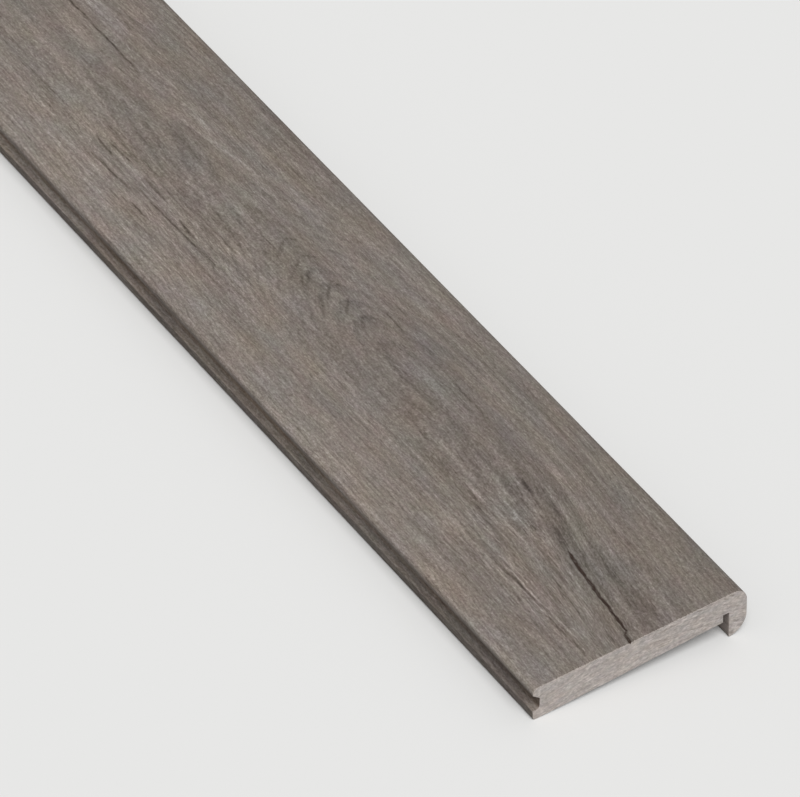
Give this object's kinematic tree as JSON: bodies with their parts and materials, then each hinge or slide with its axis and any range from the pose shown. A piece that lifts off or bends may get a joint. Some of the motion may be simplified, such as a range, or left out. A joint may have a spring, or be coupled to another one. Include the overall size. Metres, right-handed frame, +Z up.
{
  "type": "flush stair nosing",
  "caption": "Straight milled hardwood stair nosing, rounded at the front with a short drop lip, a relief slot behind the lip and a tongue groove along the back edge.",
  "frame": {"origin": "middle of the footprint, on the level surface that the piece lies on", "axes": "+X along the length, -Y towards the rounded nose, +Y towards the grooved back edge, +Z up; the piece lies on its drop lip and its back edge, so its top slopes down to the back"},
  "size_m": [1.9812, 0.115, 0.0267],
  "materials": {
    "finished_hardwood": "satin"
  },
  "bodies": {
    "root": {"stair_nosing": "finished_hardwood"}
  },
  "joints": []
}
